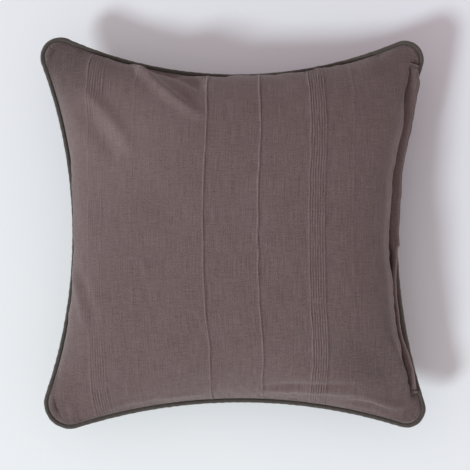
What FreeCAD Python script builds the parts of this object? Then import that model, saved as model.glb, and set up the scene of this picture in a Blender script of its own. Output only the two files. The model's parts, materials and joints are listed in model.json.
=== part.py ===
"""A filled 45 cm throw pillow lying face up: piped cover, lapped zip and inner pad.

Millimetres. X runs to the right and Y to the top of the pillow's face, Z is up,
and the origin is the bottom centre of its box. The four seams curve in between
the corners. A place near a seam is given by n, how far outside the seam line it
is, and z, how far above the seam plane.
"""

import FreeCAD, Part
import math
import os

Vector = FreeCAD.Vector
UP = Vector(0, 0, 1)

# The filled cover
seam_height = 66.0
crown_height = 142.0
cloth = 0.6
corner_radii = (17.0, 18.0, 25.0, 17.0)
allowance = 9.0
crown_angle = 80.0
contact_angle = 66.0
dome_steps = 7
corner_softening = 130.0
side_flattening = 8.0

# Each seam: how far out the middle of its curve is, where along the side that
# middle is, and the curve's radius. The values are about any convenient centre.
right_seam = (185.5, 2.0, 645.0)
top_seam = (177.5, 5.0, 485.0)
left_seam = (178.7, -2.0, 566.0)
bottom_seam = (190.0, 10.0, 625.0)

# Piping round the edge
piping_radius = 2.5
piping_bore = 2.0
cord_radius = 1.85
flange_half = 0.5

# Zip under its flap, on the right side
front_setback = 14.0
flap_angles = (-16.7, 17.1)
flap_notch_angle = -1.6
flap_thick = 1.2
flap_root = (-13.6, 4.0)
flap_rise_run = 2.3
flap_top = 7.2
flap_shoulder_n = -2.4
flap_upper_edge = (7.5, 2.8)
flap_lower_edge = (1.0, 4.4)
opening_gap_angle = 0.1
tack_wide = 1.6
tack_thick = 0.5
tack_margin = 2.0
tape_angles = (-16.4, 16.7)
chain_angles = (-15.8, 15.2)
chain_n = -6.5
tape_z = (2.8, 3.3)
tape_thick = 0.5
outer_tape_fold_n = -0.5
outer_tape_sewn_n = -6.5
outer_tape_edge_n = -4.5
inner_tape_edge_n = -8.5
tooth_pitch = 2.4
tooth_thick = 0.9
tooth_z = (2.3, 3.8)
tooth_reach = 0.6
tooth_root = 1.9
top_stop = (2.2, 1.8)
bottom_stop = (0.5, 2.4)
slider_angle = -15.0
slider_long = 9.0
slider_half = 3.7
slider_lip = 0.8
plate_z = (4.1, 5.0)
plate_lip_z = 3.7
under_plate_z = (1.4, 2.0)
under_plate_lip_z = 2.4
lug_thick = 0.7
lug_half_long = 1.1
lug_foot = 4.9
lug_top = 6.75
pin_play = 0.3
pin_z = 5.95
pin_radius = 0.35
tab_long = 12.0
tab_half = 2.2
tab_thick = 0.85
tab_eye_radius = 0.8
tab_eye_play = 0.1
tab_tip_radius = 1.6
tab_window_radius = 1.1
tab_window_from_tip = 4.2

# Inner pad
pad_gap = 11.3
pad_gap_zip = 24.5
pad_corner_radii = (14.0,) * 4
casing = 0.4
layer_gap = 0.35
casing_half_gap = 0.15

# Threads, edging and label
thread_radius = 0.3
thread_gap = 0.05
seam_thread_n = -1.7
flap_thread_n = -11.3
edging_n = (-10.0, -9.2)
edging_z = (-1.3, 0.45)
label_long = 34.0
label_thick = 0.3
label_n = (-10.6, -2.2)
label_drop = 0.5


def circle_meet(first, second, third_point):
    """Where two circles (centre, radius) cross, on the side nearer third_point."""
    a, ra = first
    b, rb = second
    between = b - a
    apart = between.Length
    along = (ra * ra - rb * rb + apart * apart) / (2 * apart)
    off = math.sqrt(ra * ra - along * along)
    unit = between / apart
    across = Vector(-unit.y, unit.x, 0)
    spots = [a + unit * along + across * off, a + unit * along - across * off]
    return min(spots, key=lambda spot: (spot - third_point).Length)


def seam_circles(scale=1.0, inset=(0, 0, 0, 0), flatter=1.0, centre=Vector(0, 0, 0)):
    """Circles of the right, top, left and bottom seams, shrunk, inset and flattened."""
    circles = []
    ways = [(1, 0), (0, 1), (-1, 0), (0, -1)]
    seams = [right_seam, top_seam, left_seam, bottom_seam]
    for (ux, uy), (out, along, radius), step in zip(ways, seams, inset):
        middle = Vector(ux * out + abs(uy) * along, uy * out + abs(ux) * along, 0)
        middle = (middle - centre) * scale - Vector(ux, uy, 0) * step
        radius = radius * scale * flatter + step
        circles.append((middle + Vector(ux, uy, 0) * radius, radius))
    return circles


def corner_centres(circles, fillets):
    """Centres of the fillets at the top right, top left, bottom left, bottom right."""
    found = []
    for i, fillet in enumerate(fillets):
        c1, r1 = circles[i]
        c2, r2 = circles[(i + 1) % 4]
        found.append(circle_meet((c1, r1 + fillet), (c2, r2 + fillet), Vector(0, 0, 0)))
    return found


def box_centre():
    """Middle of the piped outline, so that the origin is the box's centre."""
    spots = list(zip(corner_centres(seam_circles(), corner_radii), corner_radii))
    right = max(p.x + r for p, r in spots)
    left = min(p.x - r for p, r in spots)
    top = max(p.y + r for p, r in spots)
    bottom = min(p.y - r for p, r in spots)
    return Vector((left + right) / 2, (bottom + top) / 2, 0)


centre = box_centre()
seam = seam_circles(centre=centre)
zip_centre, zip_radius = seam[0]


def segments(circles, fillets, n=0.0):
    """The outline's eight arcs, anticlockwise: centre, radius, start, end, side or not."""
    found = []
    corners = corner_centres(circles, fillets)
    for i, (c, r) in enumerate(circles):
        before = corners[i - 1]
        after = corners[i]
        start = c + (before - c).normalize() * (r - n)
        end = c + (after - c).normalize() * (r - n)
        found.append((c, r - n, start, end, True))
        c2, r2 = circles[(i + 1) % 4]
        turn_end = c2 + (after - c2).normalize() * (r2 - n)
        found.append((after, fillets[i] + n, end, turn_end, False))
    return found


def outline(circles, fillets, z, n=0.0):
    """Closed wire of four side curves and four corner fillets, at height z."""
    edges = []
    for c, r, start, end, _ in segments(circles, fillets, n):
        middle = c + ((start - c) + (end - c)).normalize() * r
        lifted = [p + UP * z for p in (start, middle, end)]
        edges.append(Part.Arc(*lifted).toShape())
    return Part.Wire(edges)


def near(start, outward, n, z):
    """Point n outside start and z above the seam plane."""
    return start + outward * n + UP * (seam_height + z)


def polygon(points):
    """A profile maker: the closed polygon through (n, z) points."""
    def make(start, outward):
        spots = [near(start, outward, n, z) for n, z in points]
        return Part.makePolygon(spots + spots[:1])
    return make


def circle(n, z, radius):
    """A profile maker: a circle about (n, z)."""
    def make(start, outward):
        along = UP.cross(outward)
        return Part.Wire(Part.makeCircle(radius, near(start, outward, n, z), along))
    return make


def solid_of(faces):
    """One solid bounded by the faces."""
    shell = Part.Shell(Part.makeCompound(faces).Faces)
    if not shell.isClosed():
        sewn = Part.makeCompound(faces)
        sewn.sewShape(0.001)
        shell = sewn.Shells[0]
    made = Part.Solid(shell)
    if made.Volume < 0:
        made.reverse()
    return made


def ring(profile, circles=seam, fillets=corner_radii):
    """A profile carried all the way round an outline."""
    faces = []
    for c, r, start, end, is_side in segments(circles, fillets):
        outward = (c - start).normalize() if is_side else (start - c).normalize()
        first = start - c
        last = end - c
        turn = math.degrees(math.atan2(first.cross(last).z, first.dot(last)))
        wire = profile(start, outward)
        faces += wire.revolve(c, UP, turn).Faces
    return solid_of(faces)


def zip_point(angle, n=0.0, z=0.0):
    """A place along the zip side: angle along the seam's curve, n outside, z up."""
    turn = math.radians(angle)
    way = Vector(-math.cos(turn), math.sin(turn), 0)
    return zip_centre + way * (zip_radius - n) + UP * (seam_height + z)


def outward_at(angle):
    """Level direction that points out of the zip side."""
    turn = math.radians(angle)
    return Vector(math.cos(turn), -math.sin(turn), 0)


def zip_sweep(profile, angles):
    """A profile carried along part of the zip side's curve."""
    start = zip_point(angles[0]) - UP * seam_height
    face = Part.Face(profile(start, outward_at(angles[0])))
    return face.revolve(zip_centre, UP, angles[0] - angles[1])


def degrees_of(length, n=chain_n):
    """Angle that a length takes along the zip side at n."""
    return math.degrees(length / (zip_radius - n))


def dome(inset, fillets, base_z, top_z, end_angle):
    """Faces of a crowned form from its rim at base_z to a flat end at top_z."""
    wires = []
    for step in range(dome_steps + 1):
        angle = math.radians(end_angle * step / dome_steps)
        share = math.cos(angle)
        rise = math.sin(angle) / math.sin(math.radians(end_angle))
        flatter = 1 + side_flattening * (1 - share)
        turns = [share * (f + corner_softening * (1 - share)) for f in fillets]
        steps_in = [share * i for i in inset]
        circles = seam_circles(share, steps_in, flatter, centre)
        height = seam_height + base_z + (top_z - base_z) * rise
        wires.append(outline(circles, turns, height))
    skin = Part.makeLoft(wires, False, False)
    faces = list(skin.Faces) + [Part.Face(wires[-1])]
    return faces, wires[0]


def dome_solid(inset, fillets, base_z, top_z, end_angle):
    """A solid crowned form."""
    faces, base = dome(inset, fillets, base_z, top_z, end_angle)
    return solid_of(faces + [Part.Face(base)])


def dome_shell(inset, fillets, base_z, top_z, end_angle, thick):
    """A cloth-thin crowned shell, open at its rim."""
    inner_top = top_z - math.copysign(thick, top_z - base_z)
    closer = [i + thick for i in inset]
    outer = dome_solid(inset, fillets, base_z, top_z, end_angle)
    return outer.cut(dome_solid(closer, fillets, base_z, inner_top, end_angle))


def slab(outer_wire, inner_wire, thick):
    """Flat ring of cloth between two outlines."""
    return Part.Face(outer_wire).cut(Part.Face(inner_wire)).extrude(UP * thick)


crown = crown_height - seam_height
front_inset = (front_setback, layer_gap, layer_gap, layer_gap)
edge_inset = (layer_gap,) * 4
cover_corners = tuple(r - layer_gap for r in corner_radii)
pad_inset = (pad_gap_zip, pad_gap, pad_gap, pad_gap)


def front_panel():
    """Crowned front cloth, set back beside the zip, with its seam allowance."""
    skin = dome_shell(front_inset, cover_corners, flange_half + cloth, crown, crown_angle, cloth)
    level = seam_height + flange_half
    outer = outline(seam, corner_radii, level, -layer_gap)
    front_circles = seam_circles(inset=front_inset, centre=centre)
    inner = outline(front_circles, cover_corners, level, -allowance)
    plate = slab(outer, inner, cloth)
    low, high = flap_angles
    beyond = piping_radius * 2
    gate = [(-front_setback, 0), (beyond, 0), (beyond, beyond), (-front_setback, beyond)]
    plate = plate.cut(zip_sweep(polygon(gate), (low - opening_gap_angle, high + opening_gap_angle)))
    return skin.fuse(plate).removeSplitter()


def back_panel():
    """Crowned back cloth, flat where it rests, with its seam allowance."""
    skin = dome_shell(edge_inset, cover_corners, -flange_half - cloth, -seam_height,
                      contact_angle, cloth)
    level = seam_height - flange_half - cloth
    outer = outline(seam, corner_radii, level, -layer_gap)
    inner = outline(seam, corner_radii, level, -allowance)
    return skin.fuse(slab(outer, inner, cloth)).removeSplitter()


def piping_cover():
    """Bias strip folded round the cord, with its flange in the seam."""
    touch = piping_radius - math.sqrt(piping_radius ** 2 - flange_half ** 2)

    def profile(start, outward):
        def at(n, z):
            return near(start, outward, n, z)
        bead = Part.Arc(at(touch, flange_half), at(2 * piping_radius, 0), at(touch, -flange_half))
        tail = Part.makePolygon([at(touch, -flange_half), at(-allowance, -flange_half),
                                 at(-allowance, flange_half), at(touch, flange_half)])
        return Part.Wire([bead.toShape()] + tail.Edges)
    return ring(profile).cut(ring(circle(piping_radius, 0, piping_bore)))


def piping_cord():
    """Cotton cord inside the piping."""
    return ring(circle(piping_radius, 0, cord_radius))


def flap_profile(free_edge, lift=0.0, thick=flap_thick):
    """The flap's section: sewn edge, cover over the zip, and free edge."""
    root_n, root_z = flap_root
    under = [(root_n, root_z), (root_n + flap_rise_run, flap_top),
             (flap_shoulder_n, flap_top), free_edge]
    over = [(n, z + thick) for n, z in reversed(under)]
    points = [(n, z + lift) for n, z in under + over]
    return polygon(points)


def zip_flap():
    """Doubled cloth strip over the zip; its free edge steps back at a notch."""
    low, high = flap_angles
    lower = zip_sweep(flap_profile(flap_lower_edge), (low, flap_notch_angle))
    upper = zip_sweep(flap_profile(flap_upper_edge), (flap_notch_angle, high))
    return lower.fuse(upper).removeSplitter()


def bar_tacks():
    """Close rows of thread that hold the two ends of the flap."""
    low, high = flap_angles
    wide = degrees_of(tack_wide)
    margin = degrees_of(tack_margin)
    lift = flap_thick + thread_gap
    lower = zip_sweep(flap_profile(flap_lower_edge, lift, tack_thick),
                      (low + margin, low + margin + wide))
    upper = zip_sweep(flap_profile(flap_upper_edge, lift, tack_thick),
                      (high - margin - wide, high - margin))
    return Part.makeCompound([lower, upper])


def tape_outer():
    """Zip tape sewn to the piped edge, folded back over itself."""
    z0, z1 = tape_z
    low = flange_half
    inside_fold = outer_tape_fold_n - tape_thick
    fold = [(outer_tape_sewn_n, low), (outer_tape_fold_n, low), (outer_tape_fold_n, z1),
            (outer_tape_edge_n, z1), (outer_tape_edge_n, z0), (inside_fold, z0),
            (inside_fold, low + tape_thick), (outer_tape_sewn_n, low + tape_thick)]
    return zip_sweep(polygon(fold), tape_angles)


def tape_inner():
    """Zip tape sewn under the flap."""
    z0, z1 = tape_z
    flat = [(flap_root[0], z0), (inner_tape_edge_n, z0), (inner_tape_edge_n, z1),
            (flap_root[0], z1)]
    return zip_sweep(polygon(flat), tape_angles)


def teeth(side):
    """One row of teeth: side +1 for the outer tape, -1 for the inner one."""
    z0, z1 = tooth_z
    tip = chain_n - side * tooth_reach
    root = chain_n + side * tooth_root
    box = polygon([(tip, z0), (root, z0), (root, z1), (tip, z1)])
    pitch = degrees_of(tooth_pitch)
    thick = degrees_of(tooth_thick)
    low, high = chain_angles
    count = int((high - low) / pitch)
    first = low + (pitch / 2 if side > 0 else 0)
    made = [zip_sweep(box, (first + i * pitch, first + i * pitch + thick))
            for i in range(count)]
    return Part.makeCompound(made)


def end_stop(angle, long):
    """A crimped stop across the end of the chain."""
    z0, z1 = tooth_z
    inner = chain_n - tooth_root
    outer = chain_n + tooth_root
    box = polygon([(inner, z0), (outer, z0), (outer, z1), (inner, z1)])
    return zip_sweep(box, (angle, angle + degrees_of(long)))


def slider():
    """Upper and lower plates with turned-in lips, and two lugs holding the tab's pin."""
    half = degrees_of(slider_long / 2)
    span = (slider_angle - half, slider_angle + half)
    inner = chain_n - slider_half
    outer = chain_n + slider_half
    lip = slider_lip
    foot, head = plate_z
    sole, bed = under_plate_z
    upper = [(inner, head), (inner, plate_lip_z), (inner + lip, plate_lip_z),
             (inner + lip, foot), (outer - lip, foot), (outer - lip, plate_lip_z),
             (outer, plate_lip_z), (outer, head)]
    lower = [(inner, sole), (inner, under_plate_lip_z), (inner + lip, under_plate_lip_z),
             (inner + lip, bed), (outer - lip, bed), (outer - lip, under_plate_lip_z),
             (outer, under_plate_lip_z), (outer, sole)]
    top = zip_sweep(polygon(upper), span)
    bottom = zip_sweep(polygon(lower), span)
    lug_half = degrees_of(lug_half_long)
    pin_long = 2 * (tab_half + lug_thick + pin_play)
    pin_from = chain_n - pin_long / 2
    for edge in (pin_from, pin_from + pin_long - lug_thick):
        far = edge + lug_thick
        box = [(edge, lug_foot), (far, lug_foot), (far, lug_top), (edge, lug_top)]
        lug = zip_sweep(polygon(box), (slider_angle - lug_half, slider_angle + lug_half))
        top = top.fuse(lug)
    pin = Part.makeCylinder(pin_radius, pin_long, zip_point(slider_angle, pin_from, pin_z),
                            outward_at(slider_angle))
    return Part.makeCompound([top.fuse(pin).removeSplitter(), bottom])


def pull_tab():
    """Tab with a rolled eye round the slider's pin, lying along the chain."""
    here = zip_point(slider_angle, chain_n, pin_z)
    outward = outward_at(slider_angle)
    along = UP.cross(outward)
    start = here - outward * tab_half
    wide = outward * 2 * tab_half
    eye = Part.makeCylinder(tab_eye_radius, 2 * tab_half, start, outward)
    bottom = start - UP * tab_eye_radius
    tip = bottom + along * tab_long
    corners = [bottom, bottom + wide, tip + wide, tip]
    plate = Part.Face(Part.makePolygon(corners + corners[:1])).extrude(UP * tab_thick)
    tip_edges = [e for e in plate.Edges if abs(e.tangentAt(e.FirstParameter).z) > 0.9
                 and (e.CenterOfMass - tip).dot(along) > -tab_tip_radius]
    plate = plate.makeFillet(tab_tip_radius, tip_edges)
    hole = Part.makeCylinder(pin_radius + tab_eye_play, 4 * tab_half, start - wide / 2, outward)
    window_at = here + along * (tab_long - tab_window_from_tip) - UP * 2 * tab_eye_radius
    window = Part.makeCylinder(tab_window_radius, 4 * tab_eye_radius, window_at, UP)
    return eye.fuse(plate).cut(hole).cut(window).removeSplitter()


def pad_casing(base_z, top_z, end_angle):
    """One of the two plain cloths of the inner pad."""
    return dome_shell(pad_inset, pad_corner_radii, base_z, top_z, end_angle, casing)


def pad_filling(front_top, back_low):
    """The fibre inside the pad, in one piece."""
    tight = [i + casing + layer_gap for i in pad_inset]
    front, _ = dome(tight, pad_corner_radii, 0, front_top, crown_angle)
    back, _ = dome(tight, pad_corner_radii, 0, back_low, contact_angle)
    return solid_of(front + back)


def pad_seam():
    """Thread round the pad's own seam."""
    circles = seam_circles(inset=pad_inset, centre=centre)
    return ring(circle(2 * thread_radius, 0, thread_radius), circles, pad_corner_radii)


def care_label():
    """Blank folded label sewn into the bottom seam, inside the cover."""
    c, r = seam[3]
    level = -flange_half - cloth - label_drop
    turn = math.degrees(label_long / r)
    start = c + Vector(math.sin(math.radians(turn / 2)), math.cos(math.radians(turn / 2)), 0) * r
    outward = (c - start).normalize()
    inner, outer = label_n
    box = [(inner, level - label_thick), (outer, level - label_thick), (outer, level),
           (inner, level)]
    return Part.Face(polygon(box)(start, outward)).revolve(c, UP, turn)


def main():
    seam_thread_z = -flange_half - cloth - thread_radius - thread_gap
    flap_thread_z = tape_z[1] + thread_radius + thread_gap
    n0, n1 = edging_n
    z0, z1 = edging_z
    edging = [(n0, z0), (n1, z0), (n1, z1), (n0, z1)]
    pad_top = crown - cloth - layer_gap
    pad_low = -seam_height + cloth + layer_gap
    nodes = {
        "front_panel": front_panel(),
        "back_panel": back_panel(),
        "piping_cover": piping_cover(),
        "piping_cord": piping_cord(),
        "seam_stitching": ring(circle(seam_thread_n, seam_thread_z, thread_radius)),
        "overlock_edging": ring(polygon(edging)),
        "care_label": care_label(),
        "zip_flap": zip_flap(),
        "flap_bar_tacks": bar_tacks(),
        "flap_stitching": zip_sweep(circle(flap_thread_n, flap_thread_z, thread_radius),
                                    tape_angles),
        "zip_tape_outer": tape_outer(),
        "zip_tape_inner": tape_inner(),
        "zip_teeth_outer": teeth(1),
        "zip_teeth_inner": teeth(-1),
        "zip_top_stop": end_stop(chain_angles[0] - degrees_of(top_stop[0]), top_stop[1]),
        "zip_bottom_stop": end_stop(chain_angles[1] + degrees_of(bottom_stop[0]), bottom_stop[1]),
        "zip_slider": slider(),
        "zip_pull_tab": pull_tab(),
        "pad_casing_front": pad_casing(casing_half_gap, pad_top, crown_angle),
        "pad_casing_back": pad_casing(-casing_half_gap, pad_low, contact_angle),
        "pad_filling": pad_filling(pad_top - casing - layer_gap, pad_low + casing + layer_gap),
        "pad_seam_stitching": pad_seam(),
    }
    os.makedirs("parts", exist_ok=True)
    for name, shape in nodes.items():
        shape.exportStep("parts/" + name + ".step")
        box = shape.BoundBox
        print(f"{name:20s} valid {shape.isValid()} solids {len(shape.Solids):4d} "
              f"volume {shape.Volume:12.1f} z {box.ZMin:7.2f} {box.ZMax:7.2f}")
    print("zip curve centre", zip_centre, "radius", zip_radius)
    print("tab pin", zip_point(slider_angle, chain_n, pin_z))
    print("flap root", zip_point(sum(flap_angles) / 2, *flap_root))


main()
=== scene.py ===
"""Looks of a piped throw pillow: cloth shells by simulation, a zip flap, piping and an inner pad.

Lengths are millimetres in numpy and become metres when a mesh is made. X runs to
the zip side, Y to the top of the face, Z up. A place near the seam is given by n,
how far outside the seam line it is, and z, how far above the seam plane. A place
on a cloth panel is given by u and v, its flat coordinates from the panel's middle.
"""

import json
import math
from collections import namedtuple

import bpy
import numpy as np
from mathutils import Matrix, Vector


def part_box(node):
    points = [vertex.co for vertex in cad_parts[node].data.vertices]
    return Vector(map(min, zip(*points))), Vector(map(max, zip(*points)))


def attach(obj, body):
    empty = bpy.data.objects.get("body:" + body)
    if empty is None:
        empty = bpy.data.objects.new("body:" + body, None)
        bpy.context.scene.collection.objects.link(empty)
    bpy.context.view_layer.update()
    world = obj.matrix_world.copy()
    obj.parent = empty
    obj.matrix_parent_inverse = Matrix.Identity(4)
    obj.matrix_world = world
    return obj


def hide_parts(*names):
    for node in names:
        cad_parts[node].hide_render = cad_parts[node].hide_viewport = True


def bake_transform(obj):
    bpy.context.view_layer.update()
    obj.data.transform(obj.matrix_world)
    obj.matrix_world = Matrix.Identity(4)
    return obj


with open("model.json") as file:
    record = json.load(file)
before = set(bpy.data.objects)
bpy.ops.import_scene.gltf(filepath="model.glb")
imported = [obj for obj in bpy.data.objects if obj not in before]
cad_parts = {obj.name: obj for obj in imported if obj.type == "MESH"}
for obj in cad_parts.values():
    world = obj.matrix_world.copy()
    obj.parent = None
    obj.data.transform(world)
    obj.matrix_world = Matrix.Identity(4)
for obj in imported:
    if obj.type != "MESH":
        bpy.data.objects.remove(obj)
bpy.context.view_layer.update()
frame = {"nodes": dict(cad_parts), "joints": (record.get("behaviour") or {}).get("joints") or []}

MM = 0.001

# ---------------- driving dimensions
# The seams are the CAD model's own curves: how far out the middle of each is, where
# along its side that middle is, and its radius. Right, top, left, bottom.
SEAMS = ((185.5, 2.0, 645.0), (177.5, 5.0, 485.0), (178.7, -2.0, 566.0), (190.0, 10.0, 625.0))
WAYS = ((1, 0), (0, 1), (-1, 0), (0, -1))
CORNERS = (17.0, 18.0, 25.0, 17.0)
ALLOWANCE = 9.0
ALLOWANCE_LINES = (ALLOWANCE, 0.3)
CLOTH = 0.6
PIPING = 2.5
UV_SPAN = 500.0
SEAM_Z = sum(corner.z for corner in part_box("piping_cord")) / 2 / MM
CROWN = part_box("front_panel")[1].z / MM - SEAM_Z

# The cloth panels: half side, points a side of the simulated grid, spacing of the final
# mesh, starting height, how far the cloth is off the seam plane, the rounding of the
# resting side, and the two simulations
HALF = 217.0
GRID = 121
MESH_STEP = 2.9
PUFF = 60.0
SEAM_OFF = 1.1
REST_BLEND = 7.0
FRONT_PULL = {"pressure": 1000, "stiffness": 15, "bending": 0.5}
BACK_PULL = {"pressure": 1300, "stiffness": 15, "bending": 0.8}
DRAWN_FRAME, LAST_FRAME = 15, 34

# The zip's opening in the right seam: its ends, and the front's edge inside it as a flat
# distance and as (n, z). CLEAR_N and CLEAR_Z are the least height of the front over the flap.
ZIP_Y = (-183.0, 192.0)
ZIP_FLAT = 3.7
ZIP_FOOT = (-13.9, 6.0)
CLEAR_N = (-14.4, -11.3, -9.5, -4.0)
CLEAR_Z = (5.6, 9.4, 10.2, 10.6)

# The inner pad against the cover: its plan, how much less beside the zip, its height, the
# slope of its sides, how far in the fibre is, and the cloth's thickness
PAD_PLAN, PAD_ZIP_SIDE, PAD_HEIGHT, PAD_SLOPE = 0.943, 0.075, 0.955, 60
FIBRE_INSET, PAD_CLOTH = 0.012, 0.4

# The flap over the zip: its angles along the side's curve, its sewn edge as (n, z), the
# shares of its section's knots, their heights (at rest, then for the slit's depth, the sag
# and the reach), how far out its free edge comes above and below the notch, and the edge's
# swells as rows of place, width and height
FLAP_ANGLES = (-16.7, 17.1)
NOTCH_Y = -16.0
FLAP_THICK = 1.2
SEWN_N, SEWN_Z = -13.6, 4.0
FLAP_KNOTS = np.array([0, 0.045, 0.13, 0.29, 0.57, 0.853, 0.949, 1.0])
FLAP_HEIGHTS = np.array([
    (5.3, 0, 0, 0), (6.2, -0.4, 0, 0), (7.2, -0.9, 0, 0), (8.55, -0.8, 0.4, 0),
    (8.3, -0.2, 1, 0), (7.2, 1.2, 0.8, 0), (5.4, 2.6, 0.5, -0.22), (4.4, 2.6, 0.2, -0.22)])
UPPER_REACH, LOWER_REACH = 6.2, -0.4
FLAP_SWELLS = ((128, 38, 3.3), (38, 22, 1.0))
LOWER_SWELLS = ((-22, 24, 4.4), (-111, 25, -1.2), (-152, 22, 3.4))

# How far the slack front rolls out over the zip, its swells, and the place and width of
# the slit beside it
ROLL = 3.1
ROLL_SWELLS = ((123, 28, 6.4), (45, 25, -0.7), (-20, 28, -2.4), (-48, 14, 1.1), (-95, 28, -0.8),
               (-152, 22, 2.4))
SLIT = (-32.0, 26.0)
flap_joint = next(j for j in frame["joints"] if j["name"] == "flap_lift")
flap_axis = Vector(flap_joint["pos_m"])


# ---------------- seam geometry
def unit(v):
    """The direction of v."""
    return v / np.hypot(*v)


def seam_circles():
    """Centre and radius of each side's curve, about the outline's own middle."""
    circles = []
    for (ux, uy), (out, along, radius) in zip(WAYS, SEAMS):
        middle = np.array([ux * out + abs(uy) * along, uy * out + abs(ux) * along])
        circles.append((middle + np.array([ux, uy]) * radius, radius))
    corners = corner_centres(circles)
    high = [max(c[i] + r for c, r in zip(corners, CORNERS)) for i in (0, 1)]
    low = [min(c[i] - r for c, r in zip(corners, CORNERS)) for i in (0, 1)]
    centre = (np.array(high) + np.array(low)) / 2
    return [(c - centre, r) for c, r in circles]


def corner_centres(circles):
    """Centres of the rounded corners: top right, top left, bottom left, bottom right."""
    found = []
    for i, fillet in enumerate(CORNERS):
        a, ra = circles[i][0], circles[i][1] + fillet
        b, rb = circles[(i + 1) % 4][0], circles[(i + 1) % 4][1] + fillet
        apart = np.hypot(*(b - a))
        along = (ra * ra - rb * rb + apart * apart) / (2 * apart)
        off = math.sqrt(ra * ra - along * along)
        way = unit(b - a)
        across = np.array([-way[1], way[0]])
        spots = [a + way * along + across * off, a + way * along - across * off]
        found.append(min(spots, key=lambda p: np.hypot(*p)))
    return found


def arc(centre, start, end, count, facing):
    """Points from start to end about centre, and their outward directions."""
    first = math.atan2(*(start - centre)[::-1])
    last = math.atan2(*(end - centre)[::-1])
    turn = (last - first + math.pi) % (2 * math.pi) - math.pi
    angles = first + turn * np.linspace(0, 1, count)
    way = np.stack([np.cos(angles), np.sin(angles)], 1)
    return centre + way * np.hypot(*(start - centre)), way * facing


def seam_sides():
    """Each side from corner middle to corner middle: s from -1 to 1, points, normals, length."""
    circles = seam_circles()
    corners = corner_centres(circles)
    sides = []
    for i, (c, r) in enumerate(circles):
        before, after = corners[i - 1], corners[i]
        start, end = c + unit(before - c) * r, c + unit(after - c) * r
        cp, rp = circles[i - 1]
        cn, rn = circles[(i + 1) % 4]
        turn_start = unit(cp + unit(before - cp) * rp - before)
        turn_end = unit(cn + unit(after - cn) * rn - after)
        mid_before = before + unit(turn_start + unit(start - before)) * CORNERS[i - 1]
        mid_after = after + unit(turn_end + unit(end - after)) * CORNERS[i]
        runs = [arc(before, mid_before, start, 60, 1), arc(c, start, end, 900, -1),
                arc(after, end, mid_after, 60, 1)]
        points = np.vstack([runs[0][0][:-1], runs[1][0], runs[2][0][1:]])
        normals = np.vstack([runs[0][1][:-1], runs[1][1], runs[2][1][1:]])
        gone = np.r_[0, np.cumsum(np.hypot(*np.diff(points, axis=0).T))]
        sides.append((gone / gone[-1] * 2 - 1, points, normals, gone[-1]))
    return sides


SIDES = seam_sides()
ZIP_CENTRE, ZIP_RADIUS = seam_circles()[0]


def on_seam(side, s):
    """Point and outward normal on one side of the seam, at s from -1 to 1."""
    t, points, normals, _ = SIDES[side]
    p = np.stack([np.interp(s, t, points[:, 0]), np.interp(s, t, points[:, 1])], -1)
    n = np.stack([np.interp(s, t, normals[:, 0]), np.interp(s, t, normals[:, 1])], -1)
    return p, n / np.linalg.norm(n, axis=-1, keepdims=True)


def inside_seam(a, b):
    """Plan place of panel parameters a, b (each -1 to 1): a patch drawn on the four sides."""
    right, top = on_seam(0, b)[0], on_seam(1, -a)[0]
    left, bottom = on_seam(2, -b)[0], on_seam(3, a)[0]
    corner = [on_seam(i, np.array(1.0))[0] for i in range(4)]
    p, q = ((a + 1) / 2)[..., None], ((b + 1) / 2)[..., None]
    edges = (1 - q) * bottom + q * top + (1 - p) * left + p * right
    shared = (1 - p) * (1 - q) * corner[2] + p * (1 - q) * corner[3]
    return edges - shared - (1 - p) * q * corner[1] - p * q * corner[0]


def zip_place(angle, n, z):
    """Places by the zip: angle in degrees along the side's curve, n outside it, z up."""
    turn = np.radians(angle)
    x = ZIP_CENTRE[0] - np.cos(turn) * (ZIP_RADIUS - n)
    y = ZIP_CENTRE[1] + np.sin(turn) * (ZIP_RADIUS - n)
    return np.stack(np.broadcast_arrays(x, y, SEAM_Z + z), -1)


def in_zip(y):
    """True beside the zip's opening."""
    return (y > ZIP_Y[0]) & (y < ZIP_Y[1])


# ---------------- small numeric helpers
def smooth(x, low, high):
    """0 below low, 1 above high, and an even slope between."""
    t = np.clip((x - low) / (high - low), 0, 1)
    return t * t * (3 - 2 * t)


def waves(x, pitch, seed):
    """Smooth seeded noise of about unit size along x, with features about pitch long."""
    draw = np.random.default_rng(seed)
    total = np.zeros_like(np.asarray(x, float))
    for k in range(3):
        for _ in range(3):
            rate = 2 * math.pi / (pitch * draw.uniform(0.7, 1.5)) * 1.7 ** k
            total += 0.6 ** k * np.sin(x * rate + draw.uniform(0, 2 * math.pi))
    return total / 2.2


def swell(y, rows):
    """Sum of rounded bumps along y, each (place, width, height)."""
    return sum(h * np.exp(-((y - at) / wide) ** 2) for at, wide, h in rows)


def waves2(x, y, pitch, seed):
    """Smooth seeded noise over a plane."""
    draw = np.random.default_rng(seed)
    total = np.zeros(np.broadcast(x, y).shape)
    count = 14
    for _ in range(count):
        way = draw.uniform(0, 2 * math.pi)
        rate = 2 * math.pi / (pitch * draw.uniform(0.6, 1.8))
        total += np.sin((x * math.cos(way) + y * math.sin(way)) * rate + draw.uniform(0, 6.3))
    return total / math.sqrt(count / 2)


def cubic(rows, t):
    """Catmull-Rom interpolation of rows[0..N-1] at positions t."""
    i = np.clip(np.floor(t).astype(int), 0, len(rows) - 2)
    f = (t - i).reshape((-1,) + (1,) * (rows.ndim - 1))
    last = len(rows) - 1
    p0, p1 = rows[np.clip(i - 1, 0, last)], rows[i]
    p2, p3 = rows[i + 1], rows[np.clip(i + 2, 0, last)]
    p0 = np.where((i > 0).reshape(f.shape), p0, 2 * p1 - p2)
    p3 = np.where((i + 2 <= last).reshape(f.shape), p3, 2 * p2 - p1)
    bend = 2 * p0 - 5 * p1 + 4 * p2 - p3 + f * (3 * (p1 - p2) + p3 - p0)
    return p1 + 0.5 * f * (p2 - p0 + f * bend)


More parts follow.
